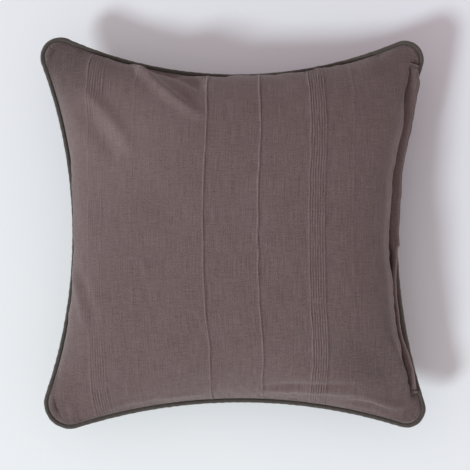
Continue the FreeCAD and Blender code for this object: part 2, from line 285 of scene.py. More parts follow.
def grid_normals(grid):
    du, dv = np.gradient(grid, axis=0), np.gradient(grid, axis=1)
    normal = np.cross(du, dv)
    return normal / (np.linalg.norm(normal, axis=-1, keepdims=True) + 1e-9)


# ---------------- mesh helpers
def grid_faces(rows, columns, closed_rows=False, closed_columns=False):
    index = np.arange(rows * columns).reshape(rows, columns)
    if closed_rows:
        index = np.vstack([index, index[:1]])
    if closed_columns:
        index = np.hstack([index, index[:, :1]])
    faces = [index[:-1, :-1], index[1:, :-1], index[1:, 1:], index[:-1, 1:]]
    return np.stack([f.ravel() for f in faces], -1)


def in_scene(name, data):
    """A new object in the scene."""
    made = bpy.data.objects.new(name, data)
    bpy.context.scene.collection.objects.link(made)
    return made


def make_object(name, points, faces, uv=None, material=None):
    """A smooth mesh object from points in millimetres and a list or array of faces."""
    mesh = bpy.data.meshes.new(name)
    corners = (np.asarray(points).reshape(-1, 3) * MM).tolist()
    mesh.from_pydata(corners, [], [list(f) for f in faces])
    if uv is not None:
        layer = mesh.uv_layers.new(name="cloth")
        corner = np.zeros(len(mesh.loops), int)
        mesh.loops.foreach_get("vertex_index", corner)
        layer.data.foreach_set("uv", np.asarray(uv, float).reshape(-1, 2)[corner].ravel())
    mesh.polygons.foreach_set("use_smooth", [True] * len(mesh.polygons))
    if material is not None:
        mesh.materials.append(material)
    return in_scene(name, mesh)


def thicken(piece, thick):
    """Gives an open cloth surface its thickness, towards its inner side."""
    solid = piece.modifiers.new("thickness", "SOLIDIFY")
    solid.thickness = thick * MM
    solid.offset = -1
    graph = bpy.context.evaluated_depsgraph_get()
    mesh = bpy.data.meshes.new_from_object(piece.evaluated_get(graph))
    old = piece.data
    piece.modifiers.clear()
    piece.data = mesh
    bpy.data.meshes.remove(old)


def set_tone(piece, shade):
    """Stores how much paler or darker than its cloth each point is, mostly painted light and shade.
    """
    tone = piece.data.attributes.new("painted_light_and_tone", "FLOAT", "POINT")
    tone.data.foreach_set("value", shade.ravel().astype(np.float32))


def tube(path, radius, around, closed=False):
    """Points, faces and uv of a round thread along path, which is never upright."""
    path = np.asarray(path, float)
    count = len(path)
    if closed:
        along = np.roll(path, -1, 0) - np.roll(path, 1, 0)
    else:
        along = np.gradient(path, axis=0)
    along /= np.linalg.norm(along, axis=1, keepdims=True)
    side = np.cross(along, [0.0, 0.0, 1.0])
    side /= np.linalg.norm(side, axis=1, keepdims=True)
    over = np.cross(side, along)
    gone = np.r_[0, np.cumsum(np.linalg.norm(np.diff(path, axis=0), axis=1))]
    angle = np.linspace(0, 2 * math.pi, around, endpoint=False)
    spin = angle[None, :, None]
    ring = np.cos(spin) * side[:, None] + np.sin(spin) * over[:, None]
    points = path[:, None] + ring * radius
    uv = np.stack(np.broadcast_arrays(gone[:, None], angle * radius), -1)
    faces = grid_faces(count, around, closed_rows=closed, closed_columns=True).tolist()
    if not closed:
        faces.append(list(range(around))[::-1])
        faces.append(list(range((count - 1) * around, count * around)))
    return points.reshape(-1, 3), faces, uv.reshape(-1, 2)


def joined(parts):
    """Several (points, faces, uv) as one."""
    points, faces, uvs, base = [], [], [], 0
    for p, f, uv in parts:
        points.append(p)
        uvs.append(uv)
        faces += [[i + base for i in face] for face in f]
        base += len(p)
    return np.vstack(points), faces, np.vstack(uvs)


# ---------------- cloth simulation
def dome(a, b):
    """1 in the middle of a square that runs from -1 to 1, and 0 at its edges."""
    return (1 - a ** 2) * (1 - b ** 2)


def simulate(drawn, held, pressure, stiffness, bending):
    """A flat square of cloth whose held points are drawn to their places under pressure."""
    rows = len(drawn)
    lines = np.linspace(-HALF, HALF, rows)
    u, v = np.meshgrid(lines, lines, indexing="ij")
    start = np.dstack([u, v, 0.5 * dome(u / HALF, v / HALF)])
    cloth = make_object("drawn_cloth", start, grid_faces(rows, rows))
    cloth.shape_key_add(name="flat")
    key = cloth.shape_key_add(name="drawn")
    key.data.foreach_set("co", (drawn * MM).ravel())
    key.value = 0
    key.keyframe_insert("value", frame=1)
    key.value = 1
    key.keyframe_insert("value", frame=DRAWN_FRAME)
    group = cloth.vertex_groups.new(name="held")
    group.add(np.nonzero(held.ravel())[0].tolist(), 1.0, "REPLACE")
    modifier = cloth.modifiers.new("Cloth", "CLOTH")
    settings = modifier.settings
    settings.vertex_group_mass = "held"
    settings.mass = 0.3
    settings.quality = 5
    settings.air_damping = 1.0
    for kind in ("tension", "compression", "shear"):
        setattr(settings, kind + "_stiffness", stiffness)
    settings.bending_stiffness = bending
    settings.use_pressure = True
    settings.uniform_pressure_force = pressure
    settings.effector_weights.gravity = 0
    modifier.point_cache.frame_end = LAST_FRAME
    for step in range(1, LAST_FRAME + 1):
        bpy.context.scene.frame_set(step)
    graph = bpy.context.evaluated_depsgraph_get()
    mesh = cloth.evaluated_get(graph).data
    found = np.empty(rows * rows * 3, np.float32)
    mesh.vertices.foreach_get("co", found)
    bpy.context.scene.frame_set(1)
    bpy.data.objects.remove(cloth)
    return found.astype(float).reshape(rows, rows, 3) / MM


def panel_form(front):
    """The inflated panel as a grid of places: x, y, and height off the seam plane."""
    lines = np.linspace(-1, 1, GRID)
    a, b = np.meshgrid(lines, lines, indexing="ij")
    plan = inside_seam(a, b)
    rise = PUFF * dome(a, b)
    held = (np.abs(a) > 0.9999) | (np.abs(b) > 0.9999)
    if front:
        seam, outward = on_seam(0, b)
        from_edge = (1 - a) * HALF
        band = (from_edge < ZIP_FLAT + 0.5) & in_zip(seam[..., 1])
        share = np.clip(from_edge / ZIP_FLAT, 0, 1)
        plan = np.where(band[..., None], seam + outward * (share * ZIP_FOOT[0])[..., None], plan)
        rise = np.where(band, share * ZIP_FOOT[1], rise)
        held |= band
    drawn = np.dstack([plan, rise])
    form = simulate(drawn, held, **(FRONT_PULL if front else BACK_PULL))
    middle = GRID // 2
    form[..., 2] *= CROWN / form[middle, middle, 2]
    return form


# ---------------- cloth panels
# Woven ribs of the cover cloth: place of the first, how many, pitch, height, width, the
# share of it that stays where the cloth is taut, and how much paler the crest is, a painted
# highlight with painted shade in the groove beside it.
Rib = namedtuple("Rib", "u count pitch height width faint tone seed")
RIBS = (
    Rib(-163.0, 7, 3.0, 0.6, 0.8, 0.35, 0.2, 11),
    Rib(-107.0, 1, 0.0, 0.3, 1.0, 0.5, 0.08, 12),
    Rib(-26.5, 1, 0.0, 1.25, 0.85, 1.0, 0.22, 13),
    Rib(32.0, 1, 0.0, 1.15, 0.85, 1.0, 0.32, 14),
    Rib(87.0, 7, 2.75, 0.68, 0.7, 0.8, 0.36, 15),
    Rib(136.0, 1, 0.0, 0.28, 1.0, 0.6, 0.08, 16),
)
RIB_BOW = -5.0
RIB_DRIFTS = ((115, 45, 2.6), (-128, 42, 3.4))
RIB_WANDER = 0.28

# Painted light and shade on the cloth, paler where the form faces the lamps and darker at the
# corners and lower right: place, radius and change of brightness.
PAINTED_PATCHES = (
    (-200, 200, 50, -0.34),
    (-120, 112, 62, 0.22),
    (0, 60, 115, 0.07),
    (200, 190, 55, -0.10),
    (165, -135, 48, -0.20),
    (-205, -200, 55, -0.12),
    (205, -205, 50, -0.12),
    (-30, 205, 45, 0.05),
)

# Folds: from u, v to u, v, then the sideways bow, the width, and the height of the crest;
# a negative height is a hollow.
FRONT_FOLDS = (
    (-112, 209, -40, 134, -7, 6, 7.5),
    (-92, 212, -34, 168, 8, 10, -8.5),
    (-70, 213, -4, 207, 3, 6, -3.4),
    (-20, 211, 60, 209, 0, 5, 2.0),
    (-172, 160, -112, 92, 5, 8, 4.2),
    (-164, 128, -128, 84, 0, 10, -3.6),
    (-200, -42, -168, -106, 4, 7, 2.4),
    (-184, -40, -158, -96, 4, 8, -1.6),
    (-205, 60, -196, -20, 3, 7, 1.4),
    (40, -181, 138, -171, 2, 4, -2.3),
    (40, -190, 140, -183, 2, 5, 2.2),
    (-150, -204, -40, -196, 3, 5, 1.3),
    (132, -198, 180, -204, 2, 4, -2.8),
    (150, -186, 198, -198, -2, 5, 2.4),
    (-204, -204, -184, -176, 3, 2.5, -1.0),
    (186, 196, 160, 150, 2, 6, -1.2),
    (60, -150, 150, -172, -8, 18, 2.6),
    (120, -120, 182, -160, 8, 22, -3.2),
    (203, 165, 204, -150, 0, 6, 2.2),
    (188, 150, 190, -120, 0, 9, -1.5),
    (-60, 40, -20, -60, 14, 30, 0.8),
    (60, 90, 110, -20, -10, 34, -0.8),
)
BACK_FOLDS = (
    (-110, 200, -50, 150, 5, 9, 2.2),
    (-90, 212, -20, 200, -3, 11, -3.2),
    (120, 206, 60, 160, 4, 9, 1.8),
    (-206, 110, -150, 70, 4, 9, 1.8),
    (-204, 90, -160, 50, 2, 8, -1.5),
    (206, -60, 160, -110, -4, 10, 1.8),
    (60, -206, 120, -160, 5, 8, 1.7),
    (70, -212, 140, -190, 3, 9, -2.4),
    (-206, -198, -176, -160, 2, 5, -1.5),
    (204, 196, 172, 160, 2, 5, -1.5),
)


def panel_lines(ribbed):
    """Flat places of the mesh lines: even, or closer together over the ribs."""
    count = round(HALF / MESH_STEP)
    lines = [HALF * i / count for i in range(-count, count + 1)]
    lines += [-HALF + 1.2, HALF - 1.2]
    if ribbed:
        centres = [r.u + i * r.pitch for r in RIBS for i in range(r.count)]
        lines = [x for x in lines if min(abs(x - c) for c in centres) > 2.0]
        for r in RIBS:
            if r.count == 1:
                lines += [r.u + d * r.width for d in (-2.2, -1.3, -0.6, 0, 0.6, 1.3, 2.2)]
            else:
                for i in range(r.count):
                    lines += [r.u + (i + d) * r.pitch for d in (-0.5, -0.25, 0, 0.25)]
                lines.append(r.u + (r.count - 0.5) * r.pitch)
    return np.array(sorted(set(np.round(lines, 3))))


def each_rib(u, v):
    """Every rib: its group, its number, its strength, and the distance in rib widths."""
    for r in RIBS:
        strength = r.faint + (1 - r.faint) * smooth(np.abs(v), 90, 190)
        for i in range(r.count):
            wander = RIB_WANDER * waves(v, 48, r.seed + 20 + i)
            yield r, i, strength, (u - r.u - i * r.pitch - wander) / r.width


def rib_relief(u, v):
    """Height of the woven ribs: full near the seams, and fainter where the cloth is taut."""
    total = np.zeros_like(u)
    for r, i, strength, off in each_rib(u, v):
        share = 1.35 if i == 0 and r.count > 1 else 1.0
        uneven = 1 + 0.3 * waves(v, 60, r.seed)
        total += share * r.height * strength * uneven * np.exp(-off ** 2)
    return total


def painted_light_and_tone(u, v):
    """Painted light and shade: paler rib crests and shaded right-hand grooves, painted patches over
    the panel, and a painted highlight along the rolled rim.
    """
    total = np.zeros_like(u)
    # Painted highlight on each rib's crest and painted shade in the groove to its right.
    for r, i, strength, off in each_rib(u, v):
        share = 1.4 if i == 0 and r.count > 1 else 1.0
        uneven = (1 + 0.25 * waves(v, 25, r.seed + 40)) * (1 + 0.3 * waves(v, 14, r.seed + 60 + i))
        lit = np.exp(-off ** 2) - 0.9 * np.exp(-(off - 1.5) ** 2)
        total += share * r.tone * strength * uneven * lit
    # Painted light and shade in soft patches over the panel.
    for light_u, light_v, radius, amount in PAINTED_PATCHES:
        total += amount * np.exp(-((u - light_u) ** 2 + (v - light_v) ** 2) / radius ** 2)
    # Painted highlight along the front's rolled rim beside the zip.
    rim = np.exp(-((HALF - 21 - u) / 8.0) ** 2) * (1 - smooth(np.abs(v + 5), 110, 165))
    return total + rim * (0.42 + 0.1 * waves(v, 40, 71))


def fold_relief(u, v, folds):
    """Height of the listed folds."""
    total = np.zeros_like(u)
    for u0, v0, u1, v1, bow, width, height in folds:
        length = math.hypot(u1 - u0, v1 - v0)
        way = ((u1 - u0) / length, (v1 - v0) / length)
        along = ((u - u0) * way[0] + (v - v0) * way[1]) / length
        off = (v - v0) * way[0] - (u - u0) * way[1] - bow * 4 * along * (1 - along)
        ends = smooth(along, -0.22, 0.25) * (1 - smooth(along, 0.75, 1.22))
        total += height * ends * np.exp(-(off / width) ** 2)
    return total


def pucker_relief(u, v, seed):
    """Small gathers that run in from the seams, and the slack of the whole panel."""
    total = 0.55 * waves2(u, v, 130, seed) + 0.16 * waves2(u, v, 42, seed + 1)
    sides = ((HALF - u, v), (HALF - v, u), (HALF + u, v), (HALF + v, u))
    for i, (inside, along) in enumerate(sides):
        inside = np.maximum(inside, 0)
        start = smooth(inside, 0, 4)
        total += 0.34 * start * np.exp(-inside / 9) * waves(along + 0.25 * inside, 11, seed + 3 + i)
        total += 0.75 * start * np.exp(-inside / 26) * waves(along, 38, seed + 9 + i)
    return total


def sample_form(form, u, v_lines):
    """Places on the inflated form at flat places u (one row per line) and v_lines."""
    to_row = (GRID - 1) / (2 * HALF)
    across = cubic(np.swapaxes(form, 0, 1), (v_lines + HALF) * to_row)
    found = np.empty(u.shape + (3,))
    for j in range(len(v_lines)):
        found[:, j] = cubic(across[j], (u[:, j] + HALF) * to_row)
    return found


def allowance(grid, outward, depth):
    """The seam allowance: the cloth folded back inside, depth from the seam."""
    back = grid.copy()
    back[..., :2] -= outward * depth
    back[..., 2] = SEAM_OFF - 0.1
    return back


def panel_surface(form, folds, seed):
    """Outer surface of a panel with its relief: u lines, v lines, places."""
    u_lines = panel_lines(True)
    v_lines = panel_lines(False)
    line, v = np.meshgrid(u_lines, v_lines, indexing="ij")
    drift = swell(v, RIB_DRIFTS)
    u = line + (1 - (line / HALF) ** 2) * (RIB_BOW * (1 - (v / HALF) ** 2) + drift)
    places = sample_form(form, u, v_lines)
    relief = fold_relief(u, v, folds) + pucker_relief(u, v, seed)
    edge = smooth(HALF - np.abs(u), 0, 5) * smooth(HALF - np.abs(v), 0, 5)
    relief = relief * edge + rib_relief(line, v) * smooth(HALF - np.abs(v), 0, 3)
    places[..., 2] += SEAM_OFF
    places = places + grid_normals(places) * relief[..., None]
    return u_lines, v_lines, places


def with_allowance(u_lines, v_lines, places):
    """Adds the folded-back allowance round a panel's surface."""
    s = v_lines / HALF
    columns = [allowance(places[0], on_seam(2, -s)[1], d) for d in ALLOWANCE_LINES]
    columns += list(places)
    columns += [allowance(places[-1], on_seam(0, s)[1], d) for d in ALLOWANCE_LINES[::-1]]
    grid = np.swapaxes(columns, 0, 1)
    t = np.r_[-1, -1, u_lines / HALF, 1, 1]
    rows = [allowance(grid[0], on_seam(3, t)[1], d) for d in ALLOWANCE_LINES]
    rows += list(grid)
    rows += [allowance(grid[-1], on_seam(1, -t)[1], d) for d in ALLOWANCE_LINES[::-1]]
    extra = HALF + np.array(ALLOWANCE_LINES)
    u = np.r_[-extra, u_lines, extra[::-1]]
    v = np.r_[-extra, v_lines, extra[::-1]]
    return u, v, np.swapaxes(rows, 0, 1)


def compact(points, faces, uv):
    """Only the points that the faces use."""
    used, index = np.unique(faces, return_inverse=True)
    return points[used], index.reshape(faces.shape), uv[used]


def roll_over_zip(places, u_lines):
    """Rolls the slack front cloth out over the flap, most at mid height of the opening."""
    inside = (HALF - u_lines)[:, None]
    roll = smooth(inside, ZIP_FLAT, 15) * (1 - smooth(inside, 15, 75))
    y = places[..., 1]
    ends = smooth(y, ZIP_Y[0], ZIP_Y[0] + 60) * (1 - smooth(y, ZIP_Y[1] - 28, ZIP_Y[1]))
    out = ROLL + swell(y, ROLL_SWELLS)
    places[..., 0] += roll * ends * out


def clear_flap(places):
    """Keeps the front cloth beside the zip above and behind the flap's sewn edge."""
    dx, dy = ZIP_CENTRE[0] - places[..., 0], places[..., 1] - ZIP_CENTRE[1]
    n = ZIP_RADIUS - np.hypot(dx, dy)
    least = np.interp(n, CLEAR_N, CLEAR_Z)
    beside = in_zip(places[..., 1]) & (n > CLEAR_N[0]) & (places[..., 0] > 0)
    places[..., 2] = np.where(beside, np.maximum(places[..., 2], least), places[..., 2])


def cover_panel(name, form, folds, seed, front, material):
    """One cloth shell of the cover, front or back."""
    u_lines, v_lines, places = panel_surface(form, folds, seed)
    if front:
        roll_over_zip(places, u_lines)
        clear_flap(places)
    u_lines, v_lines, places = with_allowance(u_lines, v_lines, places)
    faces = grid_faces(len(u_lines), len(v_lines))
    uv = np.stack(np.meshgrid(u_lines, v_lines, indexing="ij"), -1).reshape(-1, 2)
    if front:
        seam_y = on_seam(0, uv[:, 1] / HALF)[0][:, 1]
        open_zip = (uv[:, 0] > HALF - ZIP_FLAT + 0.01) & in_zip(seam_y)
        faces = faces[~open_zip[faces].any(1)]
        places[..., 2] += SEAM_Z
    else:
        places[..., 2] = SEAM_Z - soft_limit(places[..., 2], SEAM_Z, REST_BLEND)
        faces = faces[:, ::-1]
    points, faces, uv = compact(places.reshape(-1, 3), faces, uv)
    piece = make_object(name, points, faces, uv / UV_SPAN + 0.5, material)
    set_tone(piece, painted_light_and_tone(*uv.T))
    thicken(piece, CLOTH)
    return piece


def soft_limit(value, limit, blend):
    """The smaller of value and limit, with a rounded changeover."""
    share = np.maximum(blend - np.abs(value - limit), 0) / blend
    return np.minimum(value, limit) - share ** 2 * blend / 4


# ---------------- piping
def seam_loop(count):
    """Points, outward normals and distance all round the seam, anticlockwise."""
    steps = np.linspace(-1, 1, count, endpoint=False)
    points, normals = map(np.vstack, zip(*(on_seam(side, steps) for side in range(4))))
    gaps = np.hypot(*(np.roll(points, -1, 0) - points).T)
    return points, normals, np.r_[0, np.cumsum(gaps[:-1])]


def piping(material):
    """Bias strip round a cord: a bead outside the seam and a flange inside it."""
    points, normals, gone = seam_loop(230)
    turn = np.radians(np.linspace(-158, 158, 15))
    bead = np.stack([PIPING + PIPING * np.cos(turn), PIPING * np.sin(turn)], -1)
    half = 0.48
    tail = np.array([[-0.4, half], [-ALLOWANCE, half], [-ALLOWANCE, -half], [-0.4, -half]])
    section = np.vstack([bead, tail])
    is_bead = np.r_[np.ones(len(bead)), np.zeros(len(tail))]
    spin = np.r_[turn, np.zeros(len(tail))]
    g = gone[:, None]
    bumps = 0.06 * waves(g + 2.2 * spin, 7, 31) + 0.05 * waves(g, 23, 32)
    size = 1 + np.clip(bumps, -0.05, 0.12) * is_bead
    n = PIPING * is_bead + (section[:, 0] - PIPING * is_bead) * size
    drift = np.clip(0.2 * waves(gone, 60, 33), -0.3, 0.3)[:, None] * is_bead
    z = section[:, 1] * size + drift
    places = np.empty(n.shape + (3,))
    places[..., :2] = points[:, None] + normals[:, None] * n[..., None]
    places[..., 2] = SEAM_Z + z
    width = np.r_[0, np.cumsum(np.hypot(*np.diff(section, axis=0).T))]
    uv = np.stack(np.broadcast_arrays(g, width[None, :]), -1)
    faces = grid_faces(len(points), len(section), closed_rows=True, closed_columns=True)
    piece = make_object("piping", places, faces[:, ::-1], uv / UV_SPAN, material)
    x, y = places[..., 0], places[..., 1]
    # Painted light on the zip side of the piping, from the zip's lower end up to the notch.
    painted_lit = smooth(y, ZIP_Y[0] - 10, ZIP_Y[0] + 40) * (1 - smooth(y, NOTCH_Y - 10, NOTCH_Y + 20))
    set_tone(piece, 0.5 * painted_lit * (x > 0))
    return piece


# ---------------- zip flap
def flap_reach(y):
    """How far out the flap's free edge comes: less below the notch and at the top end."""
    top_end = 1 - smooth(y, ZIP_Y[1] - 19, ZIP_Y[1] - 3)
    upper = 1.0 + (UPPER_REACH - 1.0 + swell(y, FLAP_SWELLS)) * top_end
    step = smooth(y, NOTCH_Y - 2.5, NOTCH_Y + 2.5)
    lower = LOWER_REACH + swell(y, LOWER_SWELLS)
    return lower + (upper - lower) * step + 0.3 * waves(y, 46, 41) + 0.12 * waves(y, 13, 42)


def slit_depth(y):
    """How much the flap's sewn side sinks below its free side: most at the slit."""
    lower = 1 - smooth(y, NOTCH_Y - 12, NOTCH_Y + 6)
    return np.maximum(np.exp(-((y - SLIT[0]) / SLIT[1]) ** 2), 0.45 * lower)


def flap_section(y, across):
    """Top surface of the flap at y: (n, z) for shares across from sewn edge to free edge."""
    reach = flap_reach(y)
    sag = 0.3 * waves(y, 33, 43) + 0.12 * waves(y, 9, 44)
    deep = slit_depth(y)
    root = SEWN_N - 0.1
    knots_n = root + FLAP_KNOTS[:, None] * (reach - root)
    causes = (np.ones_like(y), deep, sag, reach)
    knots_z = sum(share[:, None] * cause for share, cause in zip(FLAP_HEIGHTS.T, causes))
    at = across * (len(knots_n) - 1)
    return cubic(knots_n, at), cubic(knots_z, at)


def flap_weight(y, n, z):
    """Share of the lift that each place takes: none at the sewn edge and the two ends."""
    angle = np.degrees(np.arcsin((y - ZIP_CENTRE[1]) / (ZIP_RADIUS - SEWN_N)))
    behind = np.maximum(zip_place(angle, SEWN_N, 0)[..., 0] - flap_axis.x / MM, 0)
    out, up = n - SEWN_N, z - SEWN_Z
    full = math.radians(flap_joint["range_deg"][1])
    height = out * math.sin(full) + up * math.cos(full)
    reach = np.hypot(behind + out, up)
    turn = np.arcsin(np.clip(height / reach, -1, 1)) - np.arctan2(up, behind + out)
    ends = smooth(y, ZIP_Y[0] + 2, ZIP_Y[0] + 24) * (1 - smooth(y, ZIP_Y[1] - 24, ZIP_Y[1] - 2))
    sewn = smooth(out, 0.2, 2.4)
    return np.clip(turn / full, 0, 1) * ends * sewn


def nose(top, low, way):
    """One coordinate of three points round the flap's folded edge; way is its slope."""
    top, low, way = top[:, -1:], low[:, -1:], way[:, -1:]
    beyond = np.array([0.9, 1.4, 0.9]) * FLAP_THICK / 2
    return (top + low) / 2 + way * beyond + (top - low) / 2 * np.array([0.7, 0.0, -0.7])


def zip_flap(material):
    """Doubled cloth strip sewn over the zip, with a rounded fold at its free edge."""
    angles = np.linspace(*FLAP_ANGLES, 270)
    y = zip_place(angles, 0.0, 0.0)[:, 1]
    across = np.linspace(0, 1, 19)
    n_top, z_top = (grid.T for grid in flap_section(y, across))
    dn, dz = np.gradient(n_top, axis=1), np.gradient(z_top, axis=1)
    size = np.hypot(dn, dz)
    n_low = n_top + dz / size * FLAP_THICK
    z_low = z_top - dn / size * FLAP_THICK
    n = np.hstack([n_top, nose(n_top, n_low, dn / size), n_low[:, ::-1]])
    z = np.hstack([z_top, nose(z_top, z_low, dz / size), z_low[:, ::-1]])
    places = zip_place(angles[:, None], n, z)
    columns = n.shape[1]
    faces = grid_faces(len(angles), columns, closed_columns=True)[:, ::-1].tolist()
    last = (len(angles) - 1) * columns
    faces += [list(range(columns)), list(range(last, last + columns))[::-1]]
    gone = np.radians(angles) * ZIP_RADIUS
    width = np.cumsum(np.hypot(np.diff(n, axis=1, prepend=n[:, :1]),
                               np.diff(z, axis=1, prepend=z[:, :1])), axis=1)
    uv = np.stack([width, np.broadcast_to(gone[:, None], width.shape)], -1)
    piece = make_object("zip_flap_strip", places, faces, uv / UV_SPAN + 0.5, material)
    y = places[..., 1]
    deep = slit_depth(y)
    # Painted shade darkens the crease by the sewn edge, most at the slit; painted light makes the
    # free edge below the notch paler; the whole strip gets a slight painted lift.
    crease = 1 - smooth(n, -9.0 + 5.0 * deep, -2.0 + 2.0 * deep)
    painted_lit = smooth(n - flap_reach(y), -4.5, -0.5) * (1 - smooth(y, NOTCH_Y - 6, NOTCH_Y + 6))
    shade = 0.6 * painted_lit + 0.02 - crease * (0.3 + 0.5 * deep)
    set_tone(piece, shade)
    lift_with_flap(piece, places.reshape(-1, 3))
    return piece


def lift_with_flap(piece, places):
    """Bakes a piece's transform and works out each place's share of the flap's lift, which is not
    stored on the piece.
    """
    n = ZIP_RADIUS - np.hypot(ZIP_CENTRE[0] - places[:, 0], places[:, 1] - ZIP_CENTRE[1])
    weight = flap_weight(places[:, 1], n, places[:, 2] - SEAM_Z)
    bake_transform(piece)
    weight.astype(np.float32)


def on_flap(y, across, lift):
    """Places on the flap's top surface."""
    y = np.atleast_1d(y)
    n, z = (grid.T for grid in flap_section(y, np.atleast_1d(across)))
    angle = np.degrees(np.arcsin((y[:, None] - ZIP_CENTRE[1]) / (ZIP_RADIUS - n)))
    return zip_place(angle, n, z + lift)


def bar_tacks(material):
    """Dense zigzags of thread across both ends of the flap."""
    parts = []
    for y in (ZIP_Y[0] + 3.0, ZIP_Y[1] - 3.0):
        path = []
        for i, share in enumerate(np.linspace(0.16, 0.97, 46)):
            side = 0.9 if i % 2 else -0.9
            path.append(on_flap(y + side, share, 0.12)[0, 0])
        parts.append(tube(path, 0.24, around=6))
    points, faces, uv = joined(parts)
    return make_object("flap_tack_threads", points, faces, uv / UV_SPAN, material)


def flap_topstitch(material):
    """Row of stitches that holds the flap's sewn edge."""
    parts = []
    stitch, gap = 2.6, 0.5
    y = ZIP_Y[0] + 6.0
    while y < ZIP_Y[1] - 6.0:
        path = on_flap(np.linspace(y, y + stitch, 5), 0.2, 0.02)[:, 0]
        path[:, 2] += 0.16 * np.sin(np.linspace(0, math.pi, 5))
        parts.append(tube(path, 0.16, around=6))
        y += stitch + gap
    points, faces, uv = joined(parts)
    piece = make_object("flap_topstitching", points, faces, uv / UV_SPAN, material)
    lift_with_flap(piece, points)
    return piece


# ---------------- inner pad
def pad_form(form, sign, inset):
    """The pad's own crowned cloth: the panel's form drawn in, further beside the zip."""
    grid = form[::2, ::2].copy()
    share = PAD_PLAN - PAD_ZIP_SIDE * smooth(grid[..., 0], 0, 190) - inset
    grid[..., :2] *= share[..., None]
    height = grid[..., 2] * PAD_HEIGHT - PAD_SLOPE * inset
    lumps = 0.5 * waves2(grid[..., 0], grid[..., 1], 70, 61)
    rim = np.clip(height / 12, 0, 1)
    height = np.maximum(height + lumps * rim, 0) + 0.2
    if sign < 0:
        height = soft_limit(height, SEAM_Z - 2.2 - PAD_SLOPE * inset, REST_BLEND)
    grid[..., 2] = SEAM_Z + sign * height
    return grid


def pad_casing(name, form, sign, material):
    """One of the two plain cloths of the pad."""
    grid = pad_form(form, sign, 0.0)
    faces = grid_faces(*grid.shape[:2])
    faces = faces if sign > 0 else faces[:, ::-1]
    uv = np.stack([grid[..., 0], grid[..., 1]], -1).reshape(-1, 2)
    piece = make_object(name, grid, faces, uv / UV_SPAN + 0.5, material)
    thicken(piece, PAD_CLOTH)
    return piece


def pad_filling(form, material):
    """The fibre, as one closed body."""
    upper = pad_form(form, 1, FIBRE_INSET)
    lower = pad_form(form, -1, FIBRE_INSET)
    rows = len(upper)
    rim = np.zeros((rows, rows), bool)
    rim[[0, -1]] = rim[:, [0, -1]] = True
    upper[rim, 2] = lower[rim, 2] = SEAM_Z
    index = np.arange(rows * rows).reshape(rows, rows)
    under = np.where(rim, index, index + rows * rows)
    faces = grid_faces(rows, rows)
    below = under.ravel()[faces][:, ::-1]
    points = np.vstack([upper.reshape(-1, 3), lower.reshape(-1, 3)])
    uv = points[:, :2] / UV_SPAN + 0.5
    points, faces, uv = compact(points, np.vstack([faces, below]), uv)
    return make_object("pad_fibre_fill", points, faces, uv, material)


def pad_stitching(form, material):
    """Overlock thread that winds round the pad's closed edge."""
    grid = pad_form(form, 1, 0.0)
    edge = np.vstack([grid[:-1, 0], grid[-1, :-1], grid[:0:-1, -1], grid[0, :0:-1]])
    edge[:, 2] = SEAM_Z
    closed = np.vstack([edge, edge[:1]])
    gone = np.r_[0, np.cumsum(np.linalg.norm(np.diff(closed, axis=0), axis=1))]
    turns = int(gone[-1] / 4)
    at = np.linspace(0, gone[-1], turns * 8, endpoint=False)
    path = np.stack([np.interp(at, gone, closed[:, i]) for i in range(3)], -1)
    way = np.roll(path, -1, 0) - np.roll(path, 1, 0)
    way /= np.linalg.norm(way, axis=1, keepdims=True)
    outward = np.stack([way[:, 1], -way[:, 0], np.zeros(len(way))], -1)
    spin = np.linspace(0, 2 * math.pi * turns, len(path), endpoint=False)
    path = path + outward * (0.9 * np.cos(spin)[:, None] + 0.2)
    path[:, 2] += 0.75 * np.sin(spin)
    points, faces, uv = tube(path, 0.14, around=5, closed=True)
    return make_object("pad_overlock_thread", points, faces, uv / UV_SPAN, material)


